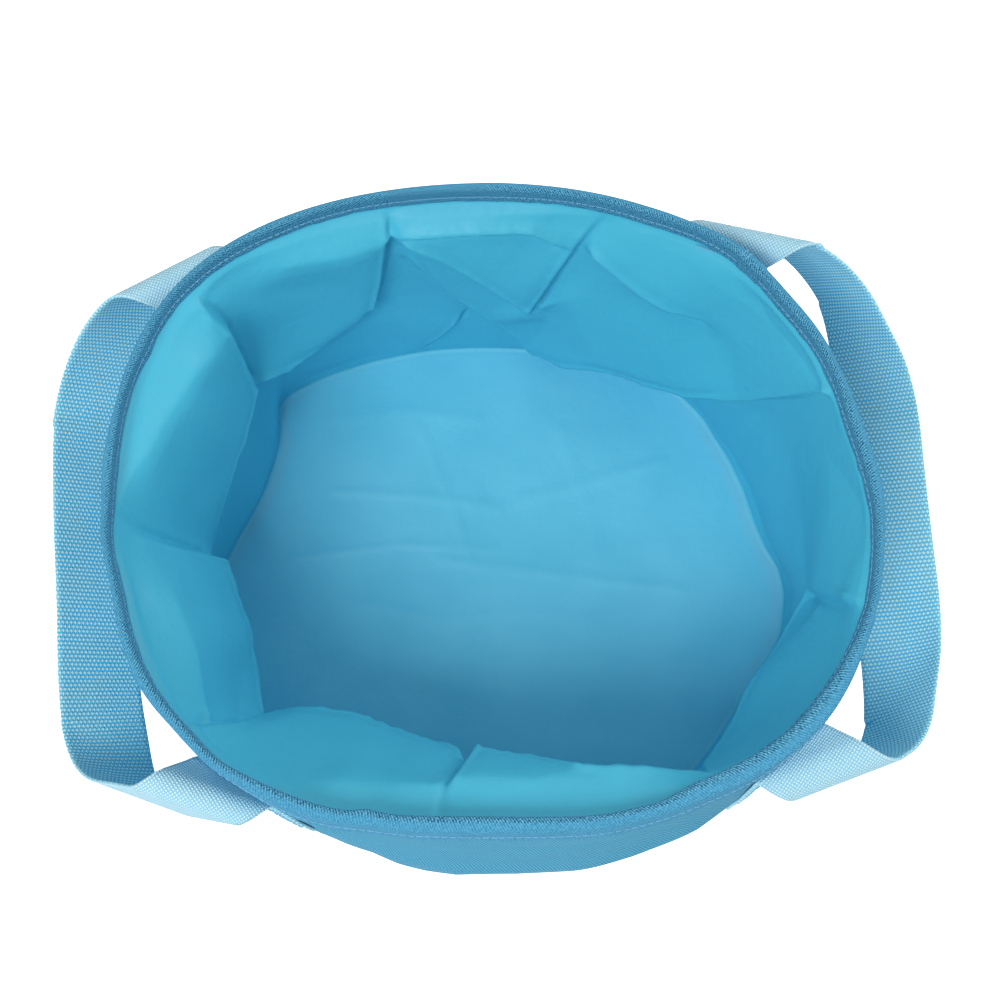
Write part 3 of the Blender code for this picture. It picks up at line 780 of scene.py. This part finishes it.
def crease_heights(creases, across, along):
    """Low ridges over a sheet, in metres, at places in the lines' own units."""
    total = np.zeros_like(across)
    for *corners, (height, half_width) in creases:
        nearest = np.full_like(across, np.inf)
        for (ax, ay), (bx, by) in zip(corners, corners[1:]):
            run = (bx - ax) ** 2 + (by - ay) ** 2
            share = np.clip(((across - ax) * (bx - ax) + (along - ay) * (by - ay)) / run, 0, 1)
            gap = np.hypot(across - ax - share * (bx - ax), along - ay - share * (by - ay))
            nearest = np.minimum(nearest, gap)
        total += height * np.exp(-((nearest / half_width) ** 2))
    return total * MM


def build_lining(finish):
    """Wall and base of the lining as one sheet."""
    angles = ring_angles(RING_STEPS)
    heights = np.linspace(BINDING_FOOT, LINING_FOOT, WALL_ROWS)
    depths = lining_depths(heights[::-1])[::-1]
    wall = oval_points(angles, LINING_FACE - depths, heights[:, None])
    collar_heights = np.linspace(WALL_TOP - 2 * MM, BINDING_FOOT + 4 * MM, COLLAR_ROWS)
    collar = oval_points(angles, lining_edge(angles), collar_heights[:, None])
    foot = wall[-1]
    shares = np.linspace(1, 0, BASE_ROWS)[1:-1, None]
    across, along = foot[:, 0] * shares, foot[:, 1] * shares
    waves = rough_field(across.shape, *BASE_WAVES) * MM * smooth(shares * 4 - 0.5)
    raised = crease_heights(BASE_CREASES, across / MM, along / MM) + waves
    ground = LINING_FOOT + np.maximum(raised * smooth((1 - shares) * 8), -0.4 * MM)
    base = np.stack([across, along, ground], axis=-1)
    points = np.concatenate([collar, wall, base])
    angle_lengths = arc_lengths(angles)
    steps = np.linalg.norm(np.diff(points[:, 0], axis=0), axis=1)
    lengths = np.concatenate([[0], np.cumsum(steps)])
    made = grid_object("lining", points, finish, angle_lengths, lengths, True, flip=True)
    add_weld_and_highlight(made, points)
    count = points.size // 3
    close_holes(made, [range(count - RING_STEPS, count)[::-1]], True)
    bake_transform(made)
    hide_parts("liner_wall", "liner_base", "liner_base_weld", "liner_wall_seam")


def add_weld_and_highlight(piece, points):
    """Marks the base, painted paler as sheen, and the paler welded strip round the foot, with a
    painted highlight where it shows plainly.
    """
    rows = np.arange(points.shape[0])[:, None] - (COLLAR_ROWS + WALL_ROWS)
    strip = np.exp(-((rows - 0.3) / 0.9) ** 2)
    angle = np.degrees(np.arctan2(points[-1, :, 1], points[-1, :, 0])) % 360
    shown = np.interp(angle, *np.array(WELD_HIGHLIGHT_SHARES).T)
    weld = strip * (FAINT_WELD_HIGHLIGHT + (PLAIN_WELD_HIGHLIGHT - FAINT_WELD_HIGHLIGHT) * shown)
    ground = np.broadcast_to(smooth((rows + 2.5) / 3), weld.shape)
    for name, values in (("ground", ground), ("weld", weld)):
        layer = piece.data.attributes.new(name, "FLOAT", "POINT")
        layer.data.foreach_set("value", values.ravel().astype(np.float32))


# The shell and the rim


def build_shell(finish):
    """The woven wall, with its belly, soft hollows and folds, drawn in to the tape on top."""
    angles = ring_angles(SHELL_STEPS)
    heights = np.linspace(0, WALL_TOP, SHELL_ROWS)[:, None]
    swell = belly(angles, heights)
    waves = rough_field(swell.shape, *SHELL_WAVES)
    held = smooth(heights / 0.03) * smooth((BINDING_FOOT - heights) / 0.03)
    inward = np.clip(waves - HOLLOW_START, 0, HOLLOW_LIMIT) * MM * held
    places = np.meshgrid(np.degrees(angles), heights / MM)
    folds = crease_heights(SHELL_FOLDS, *places) * smooth((BINDING_FOOT - heights) / 0.01)
    drawn_in = SEWN_TOP - 4 * MM
    top = smooth((heights - drawn_in) / (BINDING_FOOT - drawn_in))
    outward = SHELL_FACE + swell - inward + folds
    outward = outward + (tape_face(angles) + lean_out(angles, heights)) * top
    points = oval_points(angles, outward, heights)
    made = grid_object("woven_wall", points, finish, arc_lengths(angles), heights[:, 0], True)
    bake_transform(made)
    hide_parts("outer_wall", "outer_wall_seam", "base_seam_tape")


def build_shell_base(finish):
    """The woven base panel: it rests on its edge, and its seam shows near the edge."""
    angles = ring_angles(SHELL_STEPS)
    shares = np.linspace(0, 1, PANEL_ROWS + 1)[1:, None]
    edge = oval_points(angles, BASE_FACE, 0)
    across, along = edge[:, 0] * shares, edge[:, 1] * shares
    inset, width, rise = BASE_SEAM
    seam = rise * MM * np.exp(-(((1 - shares) * BASE_REACH - inset) / width) ** 2)
    ground = BASE_LIFT * MM - rise * MM * smooth(shares * 20 - 19) + seam
    points = np.stack([across, along, np.broadcast_to(ground, across.shape)], axis=-1)
    place = np.concatenate([points.reshape(-1, 3), [[0, 0, BASE_LIFT * MM]]])
    hub, step = len(place) - 1, np.arange(SHELL_STEPS)
    quads = grid_faces(*points.shape[:2], True)[0][:, ::-1]
    triangles = np.stack([np.full(SHELL_STEPS, hub), (step + 1) % SHELL_STEPS, step], axis=1)
    uv = place[np.concatenate([quads.ravel(), triangles.ravel()])][:, :2]
    faces = quads.tolist() + triangles.tolist()
    made = new_object("woven_base", place, faces, [finish], uv)
    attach(made, "base")
    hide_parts("outer_base")


def tape_face(angles):
    return around_rim(TAPE_OUTER, angles)


def lean_out(angles, height):
    """How far the shell and the tape's outer face lean out of the upright below the rim."""
    down = np.clip((BUCKET_HEIGHT - height) / (BUCKET_HEIGHT - BINDING_FOOT), 0, 1)
    return around_rim(TAPE_LEAN, angles) * down


def tape_section():
    """Round the folded tape: share of the way inward, inset, height, and how far its face
    looks outward and up."""
    height, crown = BUCKET_HEIGHT - BINDING_FOOT, TAPE_CROWN
    rises = [share * (height - crown) for share in np.linspace(0.06, 1, 9)]
    rows = [(0, 0.9 * MM, 0.2 * MM, 1, 0), (0, 0.3 * MM, 0, 1, 0)]
    rows += [(0, 0, rise, 1, 0) for rise in rises]
    for turn in np.linspace(0, np.pi, 11)[1:-1]:
        cos, sin = math.cos(turn), math.sin(turn)
        rows.append(((1 - cos) / 2, 0, height - crown + crown * sin, cos, sin))
    rows += [(1, 0, rise, -1, 0) for rise in reversed(rises)]
    rows += [(1, -0.3 * MM, 0, -1, 0), (1, -0.9 * MM, 0.2 * MM, -1, 0)]
    return np.array(rows).T[..., None]


def tape_points(angles, lift=0.0):
    """The tape's surface at the angles, raised off itself by lift, and its section lengths."""
    share, inset, height, out, up = tape_section()
    outer, inner = tape_face(angles), around_rim(TAPE_INNER, angles)
    outward = outer + (inner - outer) * share - inset + lift * out
    outward = outward + lean_out(angles, BINDING_FOOT + height) * (1 - share)
    near_edge = smooth(1 - height / (0.7 * (BUCKET_HEIGHT - BINDING_FOOT)))
    stitched = STITCH_DENT * np.exp(-(((height - STITCH_HEIGHT) / STITCH_DENT_WIDTH) ** 2))
    knots = np.linspace(0, 2 * np.pi, TAPE_PUCKERS + 1)
    pulls = np.append(np.random.default_rng(21).standard_normal(TAPE_PUCKERS), 0)
    puckers = np.interp(angles, knots, pulls) * TAPE_PUCKER
    outward = outward - stitched * out + puckers * near_edge * 0.6
    rise = BINDING_FOOT + height + puckers * near_edge + lift * up
    steps = np.hypot(np.diff(height[:, 0]), np.diff(share[:, 0]) * 4 * MM)
    return oval_points(angles, outward, rise), np.concatenate([[0], np.cumsum(steps)])


def build_binding(finish):
    """The tape folded over the rim, a little puckered along its edges."""
    angles = ring_angles(SHELL_STEPS * 2)
    points, lengths = tape_points(angles)
    made = grid_object("rim_tape", points, finish, arc_lengths(angles), lengths, True)
    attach(made, "rim")
    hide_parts("rim_binding")


def build_lap(finish):
    """The tape's end, lapped over its start."""
    middle = math.radians(LAP_ANGLE)
    half_turn = LAP_LENGTH / 2 / reach(middle, 0)
    shares = np.array([-1, -0.97, -0.85, -0.5, 0, 0.5, 0.85, 0.97, 1])
    lifts = np.array([-0.1, 0.25, 0.35, 0.4, 0.4, 0.4, 0.35, 0.25, -0.1]) * MM
    angles = middle + half_turn * shares
    points, lengths = tape_points(angles, lifts)
    made = grid_object("rim_tape_lap", points, finish, angles * reach(middle, 0), lengths)
    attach(made, "rim")
    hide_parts("binding_lap")


def build_lap_tack(finish):
    """Two stitches over the lap's end, and a loose end of thread beside it."""
    stitches = []
    rows = [row for row, out in enumerate(tape_section()[3][:, 0]) if -0.9 < out < 0.9]
    for turn in (1.2, 2.1):
        angle = np.array([math.radians(LAP_ANGLE + turn)])
        points = tape_points(angle, 0.7 * MM)[0][:, 0]
        for first, last in zip(rows[::3], rows[3::3]):
            stitches.append((points[first], points[last], np.array([0, 0, 1.0])))
    angles, outs, heights = np.array(LOOSE_THREAD).T
    loose = oval_points(np.radians(angles), outs * MM, heights * MM)
    stitches.append((*loose, np.array([0, 0, 1.0])))
    made = stitch_mesh("rim_tape_tack", stitches, TACK_THREAD, finish)
    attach(made, "rim")
    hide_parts("binding_lap_tack")


def build_rim_stitches(finish):
    """The two stitch lines that hold the binding."""
    angles = np.linspace(0, 2 * np.pi, 2000)
    lengths = arc_lengths(angles[:-1])
    height = BINDING_FOOT + STITCH_HEIGHT
    stitches = []
    for sign in (1, -1):
        for step in range(int(lengths[-1] / RIM_STITCH_STEP)):
            start = step * RIM_STITCH_STEP
            ends = np.interp((start, start + RIM_STITCH_LENGTH), lengths, angles)
            if sign > 0:
                outward = tape_face(ends) + lean_out(ends, height)
            else:
                outward = around_rim(TAPE_INNER, ends)
            first, last = oval_points(ends, outward - sign * 0.15 * MM, height)
            normal = np.cross(last - first, (0, 0, 1)) * sign
            stitches.append((first, last, normal / np.linalg.norm(normal)))
    made = stitch_mesh("rim_stitches", stitches, RIM_THREAD, finish)
    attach(made, "rim")
    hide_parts("binding_stitch_outer", "binding_stitch_inner")


# Straps


def roll_strip(along, across, bends):
    """Rolls a flat strip round its slanted bends; returns places along, across, outward."""
    place_along, place_across = along, across
    lifted = np.zeros_like(along)
    for start_share, axis, radius_share, turn in reversed(bends):
        start, radius = start_share * WEBBING_WIDTH, radius_share * WEBBING_WIDTH
        cos, sin = math.cos(math.radians(axis)), math.sin(math.radians(axis))
        limit = math.radians(turn)
        reached = (along - start) * sin + across * cos
        beside = (place_along - start) * cos - place_across * sin
        forward = (place_along - start) * sin + place_across * cos
        angle = np.clip(reached / radius, 0, limit)
        beyond = reached > radius * limit
        rest = np.where(beyond, forward - radius * limit, 0)
        rise = np.where(beyond, lifted, 0)
        forward = radius * np.sin(angle) + rest * np.cos(angle) - rise * np.sin(angle)
        high = radius * (1 - np.cos(angle)) + rest * np.sin(angle) + rise * np.cos(angle)
        rolled = reached > 0
        place_along, place_across = (
            np.where(rolled, start + beside * cos + forward * sin, place_along),
            np.where(rolled, forward * cos - beside * sin, place_across),
        )
        lifted = np.where(rolled, high, lifted)
    return place_along, place_across, lifted


def strap_frame(end):
    """A strap's root and its directions along, across and outward."""
    degrees, side, slant, _ = STRAP_ENDS[end]
    angle = math.radians(degrees)
    fine = 1e-4
    near, far = oval_points(np.array([angle - fine, angle + fine]), 0, 0)
    outward = np.array([far[1] - near[1], near[0] - far[0], 0])
    outward /= np.linalg.norm(outward)
    up = np.array([0, 0, 1.0])
    across = side * np.cross(outward, up)
    lean = math.radians(slant)
    along = math.cos(lean) * up - math.sin(lean) * across
    across = math.cos(lean) * across + math.sin(lean) * up
    return oval_points(np.array(angle), 0, SEWN_TOP), along, across, outward


def on_wall(points):
    """The places on the bellied shell straight behind the points."""
    angle = np.arctan2(points[..., 1], points[..., 0])
    height = points[..., 2]
    return oval_points(angle, belly(angle, height), height)


def strap_points(end, along, across):
    """Points on a strap, measured from one of its ends, held to the shell where it is sewn."""
    root, run, side, outward = strap_frame(end)
    rolled = roll_strip(along, across, STRAP_ENDS[end][3])
    flat = root + sum(place[..., None] * way for place, way in zip(rolled, (run, side, outward)))
    foot = root + np.minimum(along, 0)[..., None] * run + across[..., None] * side
    hold = 1 - smooth(along / (WEBBING_WIDTH / 3))
    return flat + (on_wall(foot) - foot) * hold[..., None]


def handle_points(side, along, across):
    """Points on a handle: its two ends' runs, joined in the middle."""
    length = HANDLE_LENGTHS[side]
    near = strap_points(f"front_{side}", along, across)
    far = strap_points(f"back_{side}", length - along, across)
    share = smooth((along - length / 2 + HANDLE_JOIN_LENGTH / 2) / HANDLE_JOIN_LENGTH)
    return near + (far - near) * share[..., None]


def strap_grid(side):
    """Along and across values, the middle plane's points and its normals."""
    length = HANDLE_LENGTHS[side]
    low, high = -LOOSE_LENGTH - SEWN_LENGTH, length + LOOSE_LENGTH + SEWN_LENGTH
    rows = round((high - low) / STRAP_ROW_LENGTH)
    half = WEBBING_WIDTH / 2
    columns = np.concatenate([
        [-half], np.linspace(-half + 0.5 * MM, half - 0.5 * MM, STRAP_COLUMNS), [half],
    ])
    along, across = np.meshgrid(np.linspace(low, high, rows + 1), columns, indexing="ij")
    points = handle_points(side, along, across)
    fine = 0.2 * MM
    run = handle_points(side, along + fine, across) - handle_points(side, along - fine, across)
    over = handle_points(side, along, across + fine) - handle_points(side, along, across - fine)
    normals = np.cross(run, over)
    normals /= np.linalg.norm(normals, axis=-1, keepdims=True)
    return along, across, points, normals


def build_strap(side, plain_face_finish, painted_sheen_finish):
    """One handle with its folds and sewn ends: a single length of webbing."""
    along, across, points, normals = strap_grid(side)
    lift = normals * WEBBING_THICKNESS / 2
    front, back = points + lift, (points - lift)[:, 1:-1][:, ::-1]
    front[:, 0] = points[:, 0]
    front[:, -1] = points[:, -1]
    loop = np.concatenate([front, back], axis=1)
    rows, columns = loop.shape[:2]
    faces, corner_rows, corner_columns = grid_faces(rows, columns, True)
    width = np.concatenate([across[0], across[0, 1:-1][::-1], across[0, :1]])
    uv = np.stack([along[corner_rows, 0], width[corner_columns]], axis=-1)
    inner = (corner_columns[:, 0] >= points.shape[1] - 1).astype(int)
    finishes, turned = [plain_face_finish, painted_sheen_finish], [0, 3, 2, 1]
    faces, uv = faces[:, turned].tolist(), uv[:, turned]
    made = new_object(f"strap_{side}", loop, faces, finishes, uv, inner)
    first, last = range(columns), range((rows - 1) * columns, rows * columns)
    close_holes(made, [first, last[::-1]], False)
    ends = (f"front_{side}", f"back_{side}")
    hinge = sum(strap_frame(end)[0] for end in ends) / 2
    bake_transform(made)
    nodes = [f"{kind}_{end}" for end in ends for kind in ("sewn_end", "strap_fold")]
    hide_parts(f"handle_{side}", *nodes)


def build_box_stitches(end, finish):
    """The box and cross of stitches that holds a sewn end."""
    half = WEBBING_WIDTH / 2 - BOX_INSET
    top, foot = -LOOSE_LENGTH - BOX_INSET, -LOOSE_LENGTH - SEWN_LENGTH + BOX_INSET
    corners = np.array([(foot, -half), (foot, half), (top, half), (top, -half)])
    lines = [(corners[step], corners[(step + 1) % 4]) for step in range(4)]
    lines += [(corners[0], corners[2]), (corners[1], corners[3])]
    outward = strap_frame(end)[3]
    stitches = []
    for first, last in lines:
        count = round(np.linalg.norm(last - first) / BOX_STITCH_STEP)
        for step in range(count):
            spots = np.array([first + (last - first) * (step + share) / count
                              for share in (0.12, 0.88)])
            points = strap_points(end, spots[:, 0], spots[:, 1])
            points = points + outward * (WEBBING_THICKNESS / 2 + 0.1 * MM)
            stitches.append((points[0], points[1], outward))
    made = stitch_mesh(f"box_{end}", stitches, BOX_THREAD, finish)
    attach(made, "rim")
    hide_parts(f"box_stitch_{end}")


# Stage


def build_floor():
    """A pale floor that shows white behind the object."""
    shader = Shader("pale_floor", 0.9)
    shader.main.inputs["Base Color"].default_value = (0.85, 0.85, 0.85, 1)
    path = shader.node("ShaderNodeLightPath")
    seen = shader.math("MAXIMUM", path.outputs["Is Camera Ray"], path.outputs["Is Glossy Ray"])
    seen = shader.math("MAXIMUM", seen, path.outputs["Is Transmission Ray"])
    shader.main.inputs["Emission Color"].default_value = (1, 1, 1, 1)
    shader.set(shader.main.inputs["Emission Strength"], seen)
    points = np.array([(-1, -1, 0), (1, -1, 0), (1, 1, 0), (-1, 1, 0)]) * FLOOR_HALF
    floor = new_object("floor", points, [(0, 1, 2, 3)], [shader.made])
    floor.location.z = -FLOOR_DROP


def build_light():
    """Plain surroundings, a soft lamp high at the front left and one low at the back right."""
    world = bpy.data.worlds.new("plain_light")
    world.use_nodes = True
    tree = world.node_tree
    light = tree.nodes["Background"]
    light.inputs["Color"].default_value = (1, 1, 1, 1)
    path = tree.nodes.new("ShaderNodeLightPath")
    pick = tree.nodes.new("ShaderNodeMapRange")
    pick.inputs["To Min"].default_value = PLAIN_LIGHT
    pick.inputs["To Max"].default_value = 1.0
    tree.links.new(path.outputs["Is Camera Ray"], pick.inputs["Value"])
    tree.links.new(pick.outputs["Result"], light.inputs["Strength"])
    bpy.context.scene.world = world
    for name, (place, power) in LAMPS.items():
        lamp = bpy.data.lights.new(name, "AREA")
        lamp.shape = "DISK"
        lamp.size = LAMP_SIZE
        lamp.energy = power
        made = put_in_scene(bpy.data.objects.new(name, lamp))
        made.location = place
        way = Vector(LAMP_AIM) - Vector(place)
        made.rotation_euler = way.to_track_quat("-Z", "Y").to_euler()


def build_camera():
    camera = bpy.data.cameras.new("camera")
    camera.lens = CAMERA_LENS
    camera.sensor_width = CAMERA_SENSOR
    camera.shift_x, camera.shift_y = CAMERA_SHIFT
    made = put_in_scene(bpy.data.objects.new("camera", camera))
    made.location = CAMERA_PLACE
    made.rotation_euler = (math.radians(CAMERA_TILT), 0, 0)
    bpy.context.scene.camera = made


def main():
    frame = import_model()
    bpy.context.scene.view_settings.view_transform = "Standard"
    build_camera()
    build_floor()
    build_light()
    build_lining(lining_finish())
    shell = shell_finish()
    build_shell(shell)
    build_shell_base(shell)
    binding = binding_finish()
    build_binding(binding)
    build_lap(binding)
    thread = thread_finish()
    build_lap_tack(thread)
    build_rim_stitches(thread)
    # The pale webbing finish is painted sheen, laid on the face of each strap that shows near its
    # rolled ends; so the left strap takes the finishes the other way round
    outer, inner = plain_webbing_finish(), sheen_painted_webbing_finish()
    build_strap("left", inner, outer)
    build_strap("right", outer, inner)
    for end in STRAP_ENDS:
        build_box_stitches(end, thread)
    strip = frame["nodes"]["rim_stiffener"]
    strip.data.materials.clear()
    strip.data.materials.append(plastic_finish())


main()
